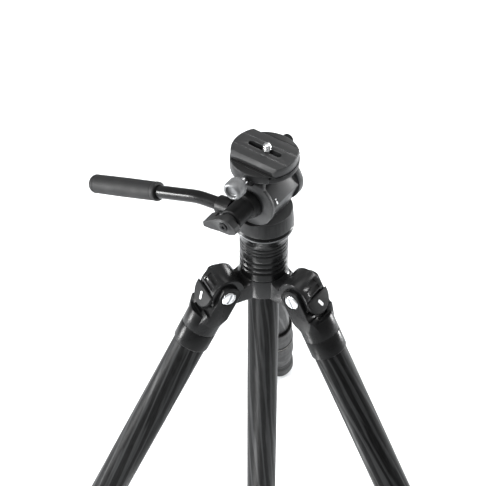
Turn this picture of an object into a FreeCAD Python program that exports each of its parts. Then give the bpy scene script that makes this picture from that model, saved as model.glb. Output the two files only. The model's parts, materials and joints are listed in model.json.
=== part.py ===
"""Travel tripod with a small fluid video head, modelled with the legs retracted and spread.

Frame: millimetres, +Z up, Z = 0 on the floor, X = Y = 0 on the centre column's axis.
The legs stand at 120 degrees: right (-30), rear (90) and left (210), counted from +X.

Each sub-part is first drawn in the frame that suits it and is then put in its place:
  leg frame   pivot at the origin, tube hanging down -Z, +X away from the column
  head frame  column axis on Z, lens direction +X, handle side -Y, heights above the hub plane
"""

import FreeCAD
import Part
import math
import os

from FreeCAD import Vector

# Overall layout
LEG_ANGLE = 28.39  # degrees between each leg and the vertical
LEG_AZIMUTHS = {"left": 210.0, "right": -30.0, "rear": 90.0}
HEAD_YAW = -30.0  # the head looks along the right leg
PIVOT_ABOVE_HUB = 6.6  # leg pivots above the hub plane
AXIS_RADIUS_AT_HUB = 41.74  # where each leg's axis crosses the hub plane
FOOT_CENTRE = 403.6  # from the pivot, along the leg, to the centre of the round foot
FOOT_R = 15.0
FOOT_FLAT = 0.8  # worn flat on the floor side of each foot

_SIN = math.sin(math.radians(LEG_ANGLE))
_COS = math.cos(math.radians(LEG_ANGLE))
PIVOT_R = AXIS_RADIUS_AT_HUB - PIVOT_ABOVE_HUB * _SIN / _COS
PIVOT_Z = FOOT_CENTRE * _COS + FOOT_R - FOOT_FLAT
HUB_Z = PIVOT_Z - PIVOT_ABOVE_HUB  # the hub plane's height above the floor

# Fits between pieces
RUN = 0.05  # radial clearance of a shaft or pin that turns or slides
GAP = 0.4  # between faces of different bodies that don't touch

# Leg tubes: outside radius, wall, top and bottom along the leg from the pivot
WALL = 1.2
UPPER_R, UPPER_TOP, UPPER_END = 14.0, 30.0, 289.0
MIDDLE_R, MIDDLE_TOP, MIDDLE_END = 12.5, 66.0, 341.0
LOWER_R, LOWER_TOP, LOWER_END = 11.0, 72.0, 392.0
BUSH_LENGTH = 14.0

# Twist locks and foot along the leg from the pivot
LOCK_R = 16.4
UPPER_LOCK = (249.5, 299.3)
LOWER_LOCK = (299.7, 374.0)
WAIST_R = 13.9
FOOT_TOP = 374.4

# Leg hinge
PIN_R = 4.0
EAR_R = 10.5
LUG_HALF = 12.0  # half the width of the spider's lug between the ears
LUG_R = 13.2
LUG_HUMP_R = 13.6
LUG_HUMP = (-2.2, 1.0)  # the hump's centre from the pivot: outwards, up
EAR_OUT = 15.8
CHEEK_R = 18.2  # round envelope of the ears about the leg's axis
SLEEVE_R = 15.3
SLEEVE_END = 58.5
TAB_HALF = 13.2
TAB_FRONT = 14.4
TAB_BACK = 10.9
TAB_TOP = 3.6
TAB_BOTTOM = 19.4
TAB_GAP = 2.6  # between the tab and the front of the ears

# Centre, heights above the hub plane
HUB_R = 19.7
HUB_BOTTOM, HUB_TOP = -5.8, 13.7
ARM_TOP = 8.0
NECK_R, NECK_TOP = 17.2, 37.0
COLLAR_R, COLLAR_BOTTOM, COLLAR_TOP = 19.7, 14.1, 41.6
COLLAR_GROOVES = (22.6, 27.8)
COLUMN_R, COLUMN_TOP, COLUMN_BOTTOM = 13.0, 42.0, -300.0
RING_BAR_Z = -318.0  # pivot of the weight ring
RING_R, RING_WIRE_R = 11.5, 1.5

# Pan base and pan body
PAN_R = 24.0
PAN_BASE_TOP = 64.9
PAN_FLARE_LOW, PAN_FLARE_HIGH = 52.5, 61.0
PAN_PLUG_BOTTOM = 18.0
PAN_SPIGOT_R = 9.0
PAN_BODY_TOP, PAN_BODY_TOP_R = 80.0, 22.8
PAN_LOCK_Z = 72.5
PAN_LOCK_TURN = 120.0  # direction of the pan lock in the head frame

# Tilt
TILT_Z = 99.0
DRUM_R, DRUM_HALF = 21.0, 17.0
DRUM_FOOT, DRUM_RIDGE, DRUM_SHOULDER = (13.3, 80.0), (20.9, 100.9), (13.0, 115.5)
CARTRIDGE_R, CARTRIDGE_HALF = 14.0, 8.7
AXLE_R, AXLE_END_R, WING_PIN_R = 5.0, 4.0, 2.5
ARM_R, ARM_IN = 21.4, 17.3
NEAR_ARM_OUT, FAR_ARM_OUT = 20.3, 23.0
RISER_HALF = 12.8
PLATFORM_R, PLATFORM_BOTTOM, PLATFORM_BEVEL = 27.1, 125.0, 2.0
KEEL_BOTTOM, KEEL_BEVEL = 119.5, 3.5  # the platform is deeper behind this X
KEEL_FRONT = 4.5
CHANNEL_FLOOR, JAW_TOP = 130.9, 133.5
CHANNEL_HALF = 20.6
JAW_BOTTOM, JAW_KEEL_BOTTOM = 127.3, 122.3
LIP_HALF = 17.0  # lips of the channel, which hold the plate down
LIP_BOTTOM, LIP_TOP = 132.35, 132.95

# Quick-release plate and its clamp
PLATE_R = 26.5
PLATE_BOTTOM, PLATE_TOP = 131.2, 139.0
PLATE_TOP_HALF, PLATE_WIDE_HALF = 15.0, 17.6
PLATE_BEVEL = 136.2  # the sides slope from here up to the top
FLANGE_HALF, GROOVE_HALF = 18.2, 16.3
GROOVE_BOTTOM, GROOVE_TOP = 132.1, 133.2
PLATE_LINE_Y = 6.9  # fine lines along the top, either side of the slot
SLOT_HALF_LENGTH, SLOT_HALF_WIDTH = 15.2, 2.6
SCREW_R = 3.175  # quarter-inch camera thread
SCREW_NECK_R, SCREW_HEAD_R = 2.3, 6.5
SCREW_SHOULDER, SCREW_TIP = 139.4, 145.0
SCREW_X = 2.0  # the screw stands a little forward in its slot
STUD_R = 2.5
CLAMP_Z = 127.2
KNOB_R, KNOB_IN, KNOB_OUT = 7.9, 33.0, 47.0
BUTTON_Z = 126.5

# Pan handle, in the head frame
BOSS_FLANGE_R, BOSS_RIM_R, BOSS_R = 12.6, 11.4, 9.0
BOSS_IN, BOSS_RIM, BOSS_OUT = 20.9, 27.0, 46.0
HANDLE_Y = -33.0
HANDLE_TUBE_R = 5.4
HANDLE_START = (-7.5, -1.1)  # along X and up from the tilt axis
HANDLE_BEND = (-39.7, -5.4)
HANDLE_TIP = (-148.4, -46.9)
HANDLE_BEND_R = 60.0
GRIP_R = 8.0
GRIP_LENGTH = 74.5
WING_IN, WING_OUT = 46.4, 55.0


def turned(points):
    """Solid of revolution about Z from its closed (radius, z) outline."""
    corners = [Vector(r, 0, z) for r, z in points]
    face = Part.Face(Part.makePolygon(corners + corners[:1]))
    return face.revolve(Vector(0, 0, 0), Vector(0, 0, 1), 360)


def cylinder(radius, low, high, x=0.0, y=0.0):
    """Upright cylinder between two heights."""
    return Part.makeCylinder(radius, high - low, Vector(x, y, low))


def cross_cylinder(radius, y_low, y_high, x=0.0, z=0.0):
    """Cylinder along Y."""
    return Part.makeCylinder(radius, y_high - y_low, Vector(x, y_low, z), Vector(0, 1, 0))


def block(x, y, z):
    """Box from its (low, high) pair on each axis."""
    size = [high - low for low, high in (x, y, z)]
    return Part.makeBox(*size, Vector(x[0], y[0], z[0]))


def turned_across(points, z=0.0, x=0.0):
    """Solid of revolution about a line along Y, from its closed (radius, y) outline."""
    shape = turned(points)
    shape.rotate(Vector(0, 0, 0), Vector(1, 0, 0), -90)
    shape.translate(Vector(x, 0, z))
    return shape


def rounded_rod(radius, half, edge):
    """Outline of a rod with chamfered ends, for turned_across."""
    return [(0, -half), (radius - edge, -half), (radius, edge - half),
            (radius, half - edge), (radius - edge, half), (0, half)]


def in_leg(shape, azimuth):
    """Take a shape from the leg frame to its place on the tripod."""
    placed = shape.copy()
    placed.rotate(Vector(0, 0, 0), Vector(0, 1, 0), -LEG_ANGLE)
    placed.translate(Vector(PIVOT_R, 0, PIVOT_Z))
    placed.rotate(Vector(0, 0, 0), Vector(0, 0, 1), azimuth)
    return placed


def in_hub(shape, yaw=0.0):
    """Take a shape from heights above the hub plane to its place on the tripod."""
    placed = shape.copy()
    placed.rotate(Vector(0, 0, 0), Vector(0, 0, 1), yaw)
    placed.translate(Vector(0, 0, HUB_Z))
    return placed


def in_head(shape):
    """Take a shape from the head frame to its place on the tripod."""
    return in_hub(shape, HEAD_YAW)


# ---------------------------------------------------------------- legs


def leg_casting():
    """Sleeve over the upper tube, with two ears that hold the pivot pin."""
    shoulder = turned([(0, 12), (CHEEK_R, 12), (CHEEK_R, -22), (SLEEVE_R, -32), (0, -32)])
    ears = cross_cylinder(EAR_R, -EAR_OUT, EAR_OUT)
    ears = ears.fuse(block((-EAR_R, EAR_R), (-EAR_OUT, EAR_OUT), (-34, 0)))
    ears = ears.common(shoulder)
    rim = 1.0
    sleeve = turned([(0, -22), (SLEEVE_R, -22), (SLEEVE_R, rim - SLEEVE_END),
                     (SLEEVE_R - rim, -SLEEVE_END), (0, -SLEEVE_END)])
    body = ears.fuse(sleeve)
    slot = LUG_HALF + GAP
    cuts = [
        cross_cylinder(LUG_R + 1.7, -slot, slot),
        block((-20, 2), (-slot, slot), (-17, 20)),
        block((-20, 20), (-slot, slot), (0, 20)),
        block((TAB_BACK - GAP, 20), (-TAB_HALF - 0.6, TAB_HALF + 0.6), (-25.5, 14)),
        block((TAB_BACK - TAB_GAP, 20), (-20, 20), (-20.5, 14)),
        block((7.7, 20), (-6.3, 6.3), (-24.5, -13)),
        cross_cylinder(PIN_R, -EAR_OUT, EAR_OUT),
        cross_cylinder(7.2, EAR_OUT - 1, EAR_OUT + 1),
        cross_cylinder(7.2, -EAR_OUT - 1, 1 - EAR_OUT),
        cylinder(UPPER_R, -SLEEVE_END, -UPPER_TOP),
    ]
    seam = cylinder(SLEEVE_R + 1, -41.8, -41.2).cut(cylinder(SLEEVE_R - 0.4, -42, -41))
    return body.cut(cuts + [seam])


def pivot_pin():
    """Pin through the ears, with a slotted disc head at each end."""
    pin = cross_cylinder(PIN_R, 1 - EAR_OUT, EAR_OUT - 1)
    head_r, proud, edge = 6.8, 0.6, 0.6
    for side in (-1, 1):
        inner, outer = side * (EAR_OUT - 1), side * (EAR_OUT + proud)
        head = turned_across([(0, inner), (head_r, inner), (head_r, outer - side * edge),
                              (head_r - edge, outer), (0, outer)])
        slot_y = sorted((outer, outer - side * edge))
        pin = pin.fuse(head).cut(block((-0.6, 0.6), slot_y, (-4.5, 4.5)))
    return pin


def angle_tab():
    """Half-round tab that slides down the leg to free the pawl behind it."""
    flat, shoulder = -TAB_TOP, -7.0
    arc = Part.Arc(Vector(0, TAB_HALF, shoulder), Vector(0, 0, -TAB_BOTTOM),
                   Vector(0, -TAB_HALF, shoulder))
    corners = [Vector(0, -TAB_HALF, shoulder), Vector(0, -TAB_HALF, flat),
               Vector(0, TAB_HALF, flat), Vector(0, TAB_HALF, shoulder)]
    outline = Part.Wire([Part.makePolygon(corners), arc.toShape()])
    plate = Part.Face(outline).extrude(Vector(TAB_FRONT - TAB_BACK, 0, 0))
    plate.translate(Vector(TAB_BACK, 0, 0))
    front = [e for e in plate.Edges if abs(e.CenterOfMass.x - TAB_FRONT) < 1e-6]
    plate = plate.makeChamfer(0.7, front)
    plate = plate.cut(cross_cylinder(LUG_R + GAP, -20, 20))
    pawl = block((8.0, 12.0), (-6.0, 6.0), (-19.0, -14.3))
    return plate.fuse(pawl)


def tube(radius, top, end):
    """Carbon leg section."""
    return cylinder(radius, -end, -top).cut(cylinder(radius - WALL, -end, -top))


def section_bush(radius, top):
    """Sleeve on the top end of an inner section, which guides it in the one above."""
    outer = cylinder(radius + 0.25, -top - BUSH_LENGTH, -top + 1.5)
    return outer.cut(cylinder(radius, -top - BUSH_LENGTH, -top)).cut(
        cylinder(radius - WALL, -top, -top + 1.5))


def upper_lock():
    """Twist collar on the end of the upper tube."""
    top, end = UPPER_LOCK
    rim = 1.2
    body = turned([(0, -top), (LOCK_R - rim, -top), (LOCK_R, -top - rim), (LOCK_R, 7 - end),
                   (LOCK_R + 0.5, 6 - end), (LOCK_R + 0.5, rim - end),
                   (LOCK_R - 0.4, -end), (0, -end)])
    lip = end - 9.0
    body = body.cut(cylinder(UPPER_R + RUN, -lip, -top))
    return body.cut(cylinder(MIDDLE_R + 0.3, -end, -lip))


def lower_lock():
    """Twist collar on the end of the middle tube, narrowing to a waist."""
    top, end = LOWER_LOCK
    rim = 0.8
    body = turned([(0, -top), (LOCK_R - rim, -top), (LOCK_R, -top - rim),
                   (LOCK_R, -top - 38), (LOCK_R - 0.8, -top - 50), (WAIST_R, -end), (0, -end)])
    lip = MIDDLE_END + 2.0
    body = body.cut(cylinder(MIDDLE_R + RUN, -lip, -top))
    return body.cut(cylinder(LOWER_R + 0.3, -end, -lip))


def foot(azimuth):
    """Rubber foot on the lower tube, with a small flat where it stands."""
    neck = turned([(0, -FOOT_TOP), (WAIST_R, -FOOT_TOP), (WAIST_R, -FOOT_TOP - 2),
                   (FOOT_R + 0.2, -FOOT_TOP - 13), (FOOT_R, -FOOT_CENTRE), (0, -FOOT_CENTRE)])
    ball = Part.makeSphere(FOOT_R, Vector(0, 0, -FOOT_CENTRE))
    body = neck.fuse(ball.common(cylinder(FOOT_R + 1, -FOOT_CENTRE - FOOT_R - 1, -FOOT_CENTRE)))
    body = body.cut(cylinder(LOWER_R, -LOWER_END, -FOOT_TOP))
    placed = in_leg(body.removeSplitter(), azimuth)
    reach = 600
    return placed.cut(block((-reach, reach), (-reach, reach), (-40, 0)))


def leg_parts(azimuth):
    """Every sub-part of one leg, in its place."""
    drawn = {
        "leg_casting": leg_casting(),
        "pivot_pin": pivot_pin(),
        "angle_tab": angle_tab(),
        "upper_tube": tube(UPPER_R, UPPER_TOP, UPPER_END),
        "middle_tube": tube(MIDDLE_R, MIDDLE_TOP, MIDDLE_END),
        "lower_tube": tube(LOWER_R, LOWER_TOP, LOWER_END),
        "middle_bush": section_bush(MIDDLE_R, MIDDLE_TOP),
        "lower_bush": section_bush(LOWER_R, LOWER_TOP),
        "upper_lock": upper_lock(),
        "lower_lock": lower_lock(),
    }
    parts = {name: in_leg(shape, azimuth) for name, shape in drawn.items()}
    parts["foot"] = foot(azimuth)
    return parts


# ---------------------------------------------------------------- centre


def spider_arm():
    """Arm and lug for one leg, pointing along +X, in hub heights."""
    arm = block((14, PIVOT_R), (-LUG_HALF, LUG_HALF), (HUB_BOTTOM, ARM_TOP))
    flare_r, flare_z = 27.0, ARM_TOP
    hollow = Part.Arc(Vector(HUB_R, 0, HUB_TOP), Vector(HUB_R + 2.3, 0, ARM_TOP + 2.0),
                      Vector(flare_r, 0, flare_z))
    corners = [Vector(flare_r, 0, flare_z), Vector(flare_r, 0, HUB_BOTTOM),
               Vector(0, 0, HUB_BOTTOM), Vector(0, 0, HUB_TOP), Vector(HUB_R, 0, HUB_TOP)]
    outline = Part.Wire([hollow.toShape(), Part.makePolygon(corners)])
    flare = Part.Face(outline).revolve(Vector(0, 0, 0), Vector(0, 0, 1), 360)
    arm = arm.fuse(flare.common(block((0, 40), (-LUG_HALF, LUG_HALF), (-10, 20))))
    lug = turned_across(rounded_rod(LUG_R, LUG_HALF, 0.8), PIVOT_ABOVE_HUB, PIVOT_R)
    hump = turned_across(rounded_rod(LUG_HUMP_R, LUG_HALF, 0.8),
                         PIVOT_ABOVE_HUB + LUG_HUMP[1], PIVOT_R + LUG_HUMP[0])
    arm = arm.fuse([lug, hump])
    for turn in (14, 36, 58):
        notch = block((LUG_R - 1.2, LUG_R + 4), (-7, 7), (-1.8, 1.8))
        notch.rotate(Vector(0, 0, 0), Vector(0, 1, 0), -turn)
        notch.translate(Vector(PIVOT_R, 0, PIVOT_ABOVE_HUB))
        arm = arm.cut(notch)
    return arm.cut(cross_cylinder(PIN_R + RUN, -20, 20, PIVOT_R, PIVOT_ABOVE_HUB))


def spider():
    """Hub with three arms, and the threaded neck that the column lock turns on."""
    edge = 1.2
    hub = turned([(0, HUB_BOTTOM), (HUB_R - edge, HUB_BOTTOM), (HUB_R, HUB_BOTTOM + edge),
                  (HUB_R, HUB_TOP), (NECK_R, HUB_TOP), (NECK_R, NECK_TOP), (0, NECK_TOP)])
    arms = []
    for azimuth in LEG_AZIMUTHS.values():
        arm = spider_arm()
        arm.rotate(Vector(0, 0, 0), Vector(0, 0, 1), azimuth)
        arms.append(arm)
    body = hub.fuse(arms).cut(cylinder(COLUMN_R + 2.6, HUB_BOTTOM, NECK_TOP))
    return body.removeSplitter()


def column_bush():
    """Sleeve in the hub that the column slides in."""
    outer = cylinder(COLUMN_R + 2.6, HUB_BOTTOM + 0.8, NECK_TOP)
    return outer.cut(cylinder(COLUMN_R + RUN, HUB_BOTTOM, NECK_TOP))


def column_lock():
    """Grooved twist collar that clamps the column."""
    edge, depth, half = 0.8, 1.0, 0.9
    outline = [(0, COLLAR_BOTTOM), (COLLAR_R - edge, COLLAR_BOTTOM),
               (COLLAR_R, COLLAR_BOTTOM + edge)]
    for z in COLLAR_GROOVES:
        outline += [(COLLAR_R, z - half), (COLLAR_R - depth, z), (COLLAR_R, z + half)]
    outline += [(COLLAR_R, COLLAR_TOP - edge), (COLLAR_R - edge, COLLAR_TOP), (0, COLLAR_TOP)]
    lip = NECK_TOP + GAP
    body = turned(outline).cut(cylinder(NECK_R + RUN, COLLAR_BOTTOM, lip))
    return body.cut(cylinder(COLUMN_R + 0.3, lip, COLLAR_TOP))


def centre_column():
    """Carbon tube that carries the head."""
    outer = cylinder(COLUMN_R, COLUMN_BOTTOM, COLUMN_TOP)
    return outer.cut(cylinder(COLUMN_R - WALL, COLUMN_BOTTOM, COLUMN_TOP))


def column_end_cap():
    """Plug and cap on the column's lower end, with two lugs for the weight ring."""
    z = COLUMN_BOTTOM
    plug_r = COLUMN_R - WALL
    cap = turned([(0, z + 14), (plug_r, z + 14), (plug_r, z), (COLUMN_R + 0.8, z),
                  (COLUMN_R + 0.8, z - 8), (COLUMN_R - 1.2, z - 11), (0, z - 11)])
    lug = block((-3.5, 3.5), (-4, 4), (RING_BAR_Z, z - 10))
    lug = lug.fuse(cross_cylinder(3.5, -4, 4, 0, RING_BAR_Z))
    bore = cross_cylinder(RING_WIRE_R + RUN, -20, 20, 0, RING_BAR_Z)
    return cap.fuse(lug).cut(bore)


def weight_ring():
    """D-shaped ring for a ballast bag."""
    bar = cross_cylinder(RING_WIRE_R, -RING_R, RING_R, 0, RING_BAR_Z)
    bow = Part.makeTorus(RING_R, RING_WIRE_R, Vector(0, 0, RING_BAR_Z), Vector(1, 0, 0))
    below = block((-5, 5), (-20, 20), (RING_BAR_Z - 20, RING_BAR_Z))
    ends = [Part.makeSphere(RING_WIRE_R, Vector(0, y, RING_BAR_Z)) for y in (-RING_R, RING_R)]
    return bar.fuse([bow.common(below)] + ends)


# ---------------------------------------------------------------- pan


def pan_base():
    """Flared base fixed on the column, with the spigot that the head pans on."""
    plug_r = COLUMN_R - WALL
    retainer_z = PAN_BODY_TOP + 0.3
    return turned([(0, PAN_PLUG_BOTTOM), (plug_r, PAN_PLUG_BOTTOM), (plug_r, COLUMN_TOP),
                   (COLLAR_R, COLUMN_TOP), (COLLAR_R, PAN_FLARE_LOW), (PAN_R, PAN_FLARE_HIGH),
                   (PAN_R, PAN_BASE_TOP - 2.4),
                   (PAN_R - 1.2, PAN_BASE_TOP), (PAN_SPIGOT_R, PAN_BASE_TOP),
                   (PAN_SPIGOT_R, retainer_z), (0, retainer_z)])


def pan_retainer():
    """Washer and screw head that hold the pan body on its spigot."""
    z = PAN_BODY_TOP + 0.3
    washer = cylinder(11.5, z, z + 1.2).fuse(cylinder(4.5, z + 1.2, z + 2.2))
    return washer.removeSplitter()


def drum():
    """Housing between the platform's arms: round on top, with a ridge along its front and back."""
    front = [(DRUM_FOOT[0], PAN_BODY_TOP - 4), DRUM_FOOT, DRUM_RIDGE, DRUM_SHOULDER]
    outline = [Vector(x, -DRUM_HALF, z) for x, z in front]
    crown = Part.Arc(outline[-1], Vector(0, -DRUM_HALF, TILT_Z + DRUM_R),
                     Vector(-DRUM_SHOULDER[0], -DRUM_HALF, DRUM_SHOULDER[1])).toShape()
    back = [Vector(-x, -DRUM_HALF, z) for x, z in reversed(front)]
    wire = Part.Wire([Part.makePolygon(outline), crown, Part.makePolygon(back + outline[:1])])
    body = Part.Face(wire).extrude(Vector(0, 2 * DRUM_HALF, 0))
    ridges = [e for e in body.Edges
              if abs(e.CenterOfMass.z - DRUM_RIDGE[1]) < 1e-6 and abs(e.CenterOfMass.y) < 1e-6]
    return body.makeChamfer(0.5, ridges)


def pan_body():
    """Turning housing: round base and the drum that holds the tilt axle."""
    low = PAN_BASE_TOP + GAP
    base = turned([(0, low), (PAN_R - 0.8, low), (PAN_R, low + 0.8),
                   (PAN_BODY_TOP_R, PAN_BODY_TOP), (0, PAN_BODY_TOP)])
    body = base.fuse(drum())
    lock_bore = Part.makeCylinder(3.0 + RUN, 20, Vector(PAN_SPIGOT_R, 0, PAN_LOCK_Z),
                                  Vector(1, 0, 0))
    lock_bore.rotate(Vector(0, 0, 0), Vector(0, 0, 1), PAN_LOCK_TURN)
    return body.cut([
        cylinder(PAN_SPIGOT_R + RUN, low, PAN_BODY_TOP),
        cylinder(12.0, PAN_BODY_TOP, PAN_BODY_TOP + 3),
        cross_cylinder(CARTRIDGE_R + 0.3, -CARTRIDGE_HALF - 0.3, CARTRIDGE_HALF + 0.3, 0, TILT_Z),
        cross_cylinder(AXLE_R + RUN, -DRUM_HALF, DRUM_HALF, 0, TILT_Z),
        cross_cylinder(ARM_R + 0.6, DRUM_HALF, 30, 0, TILT_Z),
        cross_cylinder(ARM_R + 0.6, -30, -DRUM_HALF, 0, TILT_Z),
        lock_bore,
    ])


def fluted(shape, count, radius, cutter_r, low, high):
    """Cut evenly spaced flutes along Z into a knob."""
    for i in range(count):
        angle = 2 * math.pi * i / count
        x, y = radius * math.cos(angle), radius * math.sin(angle)
        shape = shape.cut(cylinder(cutter_r, low, high, x, y))
    return shape


def pan_lock_knob():
    """Small knob whose screw presses on the pan spigot."""
    start, end = PAN_R + 1.5, PAN_R + 13.0
    body = turned([(0, start), (4.5, start), (7.0, start + 2), (7.0, end - 1),
                   (6.0, end), (0, end)])
    body = fluted(body, 8, 9.2, 3.0, start, end)
    body = body.fuse(cylinder(3.0, PAN_SPIGOT_R + 0.5, start + 1))
    body.rotate(Vector(0, 0, 0), Vector(0, 1, 0), 90)
    body.translate(Vector(0, 0, PAN_LOCK_Z))
    body.rotate(Vector(0, 0, 0), Vector(0, 0, 1), PAN_LOCK_TURN)
    return body


# ---------------------------------------------------------------- tilt


def platform_disc():
    """Round platform, deeper at the back, with the channel for the plate and a bed for the jaw."""
    brim = PLATFORM_BOTTOM + PLATFORM_BEVEL
    disc = turned([(0, PLATFORM_BOTTOM), (PLATFORM_R - PLATFORM_BEVEL, PLATFORM_BOTTOM),
                   (PLATFORM_R, brim), (PLATFORM_R, JAW_TOP), (0, JAW_TOP)])
    keel = turned([(0, KEEL_BOTTOM), (PLATFORM_R - KEEL_BEVEL, KEEL_BOTTOM),
                   (PLATFORM_R, KEEL_BOTTOM + KEEL_BEVEL), (PLATFORM_R, brim), (0, brim)])
    keel = keel.common(block((-30, KEEL_FRONT), (-30, 30), (KEEL_BOTTOM, brim)))
    jaw_side = (-30, GAP - CHANNEL_HALF)
    return disc.fuse(keel).cut([
        block((-30, 30), (-CHANNEL_HALF, CHANNEL_HALF), (CHANNEL_FLOOR, JAW_TOP + 1)),
        block((-30, 30), jaw_side, (JAW_BOTTOM - 0.3, JAW_TOP + 1)),
        block((-30, KEEL_FRONT + GAP), jaw_side, (JAW_KEEL_BOTTOM - 0.3, JAW_TOP + 1)),
    ])


def tilt_platform():
    """Round platform on two arms, which straddle the drum."""
    arms = []
    for y in ((-NEAR_ARM_OUT, -ARM_IN), (ARM_IN, FAR_ARM_OUT)):
        riser = block((-RISER_HALF, RISER_HALF), y, (TILT_Z, PLATFORM_BOTTOM + 3))
        riser = riser.common(cylinder(PLATFORM_R - 0.3, TILT_Z - 1, JAW_TOP))
        arms += [cross_cylinder(ARM_R, y[0], y[1], 0, TILT_Z), riser]
    lip = block((-30, 30), (LIP_HALF, CHANNEL_HALF + 1), (LIP_BOTTOM, LIP_TOP))
    lip = lip.common(cylinder(PLATFORM_R, CHANNEL_FLOOR, JAW_TOP))
    body = platform_disc().fuse(arms + [lip])
    return body.cut([
        cross_cylinder(DRUM_R + GAP, -ARM_IN, ARM_IN, 0, TILT_Z),
        cross_cylinder(AXLE_R, -30, 30, 0, TILT_Z),
        cross_cylinder(STUD_R + RUN, -30, -8, 0, CLAMP_Z),
        cross_cylinder(3.0 + RUN, 17, 30, 0, BUTTON_Z),
    ]).removeSplitter()


def tilt_axle():
    """Steel axle through the arms and the drum, stepped down for handle and knob."""
    return turned_across([
        (0, -WING_OUT + 0.8), (WING_PIN_R, -WING_OUT + 0.8), (WING_PIN_R, -BOSS_OUT),
        (AXLE_END_R, -BOSS_OUT), (AXLE_END_R, -NEAR_ARM_OUT), (AXLE_R, -NEAR_ARM_OUT),
        (AXLE_R, FAR_ARM_OUT), (AXLE_END_R, FAR_ARM_OUT), (AXLE_END_R, 33), (0, 33)], TILT_Z)


def tilt_cartridge():
    """Damping disc on the axle inside the drum."""
    outer = cross_cylinder(CARTRIDGE_R, -CARTRIDGE_HALF, CARTRIDGE_HALF, 0, TILT_Z)
    for y in (-4.4, 0.0, 4.4):
        ring = cross_cylinder(CARTRIDGE_R + 1, y - 0.8, y + 0.8, 0, TILT_Z)
        outer = outer.cut(ring.cut(cross_cylinder(9.0, y - 1, y + 1, 0, TILT_Z)))
    return outer.cut(cross_cylinder(AXLE_R, -CARTRIDGE_HALF, CARTRIDGE_HALF, 0, TILT_Z))


def tilt_lock_knob():
    """Fluted knob on the far end of the axle."""
    start, end = FAR_ARM_OUT + GAP, 34.5
    body = turned([(0, start), (7.0, start), (9.5, start + 2.5), (9.5, end - 1.2),
                   (8.3, end), (0, end)])
    body = fluted(body, 9, 12.0, 3.4, start, end)
    body = body.cut(cylinder(AXLE_END_R + RUN, start, 33.3))
    body.rotate(Vector(0, 0, 0), Vector(1, 0, 0), -90)
    body.translate(Vector(0, 0, TILT_Z))
    return body


# ---------------------------------------------------------------- clamp and plate


def clamp_jaw():
    """Sliding jaw: the near edge of the round platform."""
    body = cylinder(PLATFORM_R, JAW_KEEL_BOTTOM, JAW_TOP)
    body = body.common(block((-30, 30), (-30, -CHANNEL_HALF), (JAW_KEEL_BOTTOM, JAW_TOP)))
    body = body.cut(block((KEEL_FRONT, 30), (-30, 0), (JAW_KEEL_BOTTOM, JAW_BOTTOM)))
    rim = [e for e in body.Edges
           if abs(e.CenterOfMass.z - JAW_TOP) < 1e-6 and abs(e.CenterOfMass.y) > CHANNEL_HALF + 0.5]
    body = body.makeChamfer(0.5, rim)
    lip = block((-30, 30), (-CHANNEL_HALF - 1, -LIP_HALF), (LIP_BOTTOM, LIP_TOP))
    lip = lip.common(cylinder(PLATFORM_R - 0.5, CHANNEL_FLOOR, JAW_TOP))
    body = body.fuse(lip).cut(cross_cylinder(STUD_R + RUN, -30, -20, 0, CLAMP_Z))
    return body.removeSplitter()


def clamp_stud():
    """Screw that draws the jaw in, with a bright shoulder behind the knob."""
    shoulder = PLATFORM_R + GAP
    return turned_across([(0, -KNOB_IN - 4), (STUD_R, -KNOB_IN - 4), (STUD_R, -KNOB_IN),
                          (3.6, -KNOB_IN), (3.6, -shoulder), (STUD_R, -shoulder),
                          (STUD_R, -9), (0, -9)], CLAMP_Z)


def clamp_knob():
    """Round knob with a hollow outer end."""
    body = turned_across([
        (STUD_R, -KNOB_IN), (6.4, -KNOB_IN), (KNOB_R, -KNOB_IN - 2.6), (KNOB_R, 0.6 - KNOB_OUT),
        (KNOB_R - 0.6, -KNOB_OUT), (6.5, -KNOB_OUT), (6.2, 0.5 - KNOB_OUT),
        (6.2, 8.5 - KNOB_OUT), (0, 8.5 - KNOB_OUT), (0, -KNOB_IN - 4), (STUD_R, -KNOB_IN - 4)],
        CLAMP_Z)
    return body


def quick_plate():
    """Sliding camera plate with bevelled sides and a slot for the camera screw."""
    half = [(PLATE_TOP_HALF, PLATE_TOP), (PLATE_WIDE_HALF, PLATE_BEVEL), (PLATE_WIDE_HALF, GROOVE_TOP),
            (GROOVE_HALF, GROOVE_TOP), (GROOVE_HALF, GROOVE_BOTTOM), (FLANGE_HALF, GROOVE_BOTTOM),
            (FLANGE_HALF, PLATE_BOTTOM)]
    outline = [Vector(-30, y, z) for y, z in half]
    outline += [Vector(-30, -y, z) for y, z in reversed(half)]
    body = Part.Face(Part.makePolygon(outline + outline[:1])).extrude(Vector(60, 0, 0))
    edge = 0.6
    body = body.common(turned([(0, PLATE_BOTTOM), (PLATE_R, PLATE_BOTTOM), (PLATE_R, PLATE_TOP - edge),
                               (PLATE_R - edge, PLATE_TOP), (0, PLATE_TOP)]))
    slot = long_slot(SLOT_HALF_LENGTH, SLOT_HALF_WIDTH, PLATE_BOTTOM - 1, PLATE_TOP + 1)
    pocket = long_slot(SLOT_HALF_LENGTH + 3.5, SCREW_HEAD_R + 0.4, PLATE_BOTTOM - 1, 134.0)
    lines = [block((-30, 30), (y - 0.35, y + 0.35), (PLATE_TOP - 0.35, PLATE_TOP + 1))
             for y in (-PLATE_LINE_Y, PLATE_LINE_Y)]
    return body.cut([slot, pocket] + lines)


def long_slot(half_length, half_width, low, high):
    """Round-ended slot along X."""
    straight = half_length - half_width
    ends = [cylinder(half_width, low, high, x) for x in (-straight, straight)]
    middle = block((-straight, straight), (-half_width, half_width), (low, high))
    return middle.fuse(ends).removeSplitter()


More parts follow.
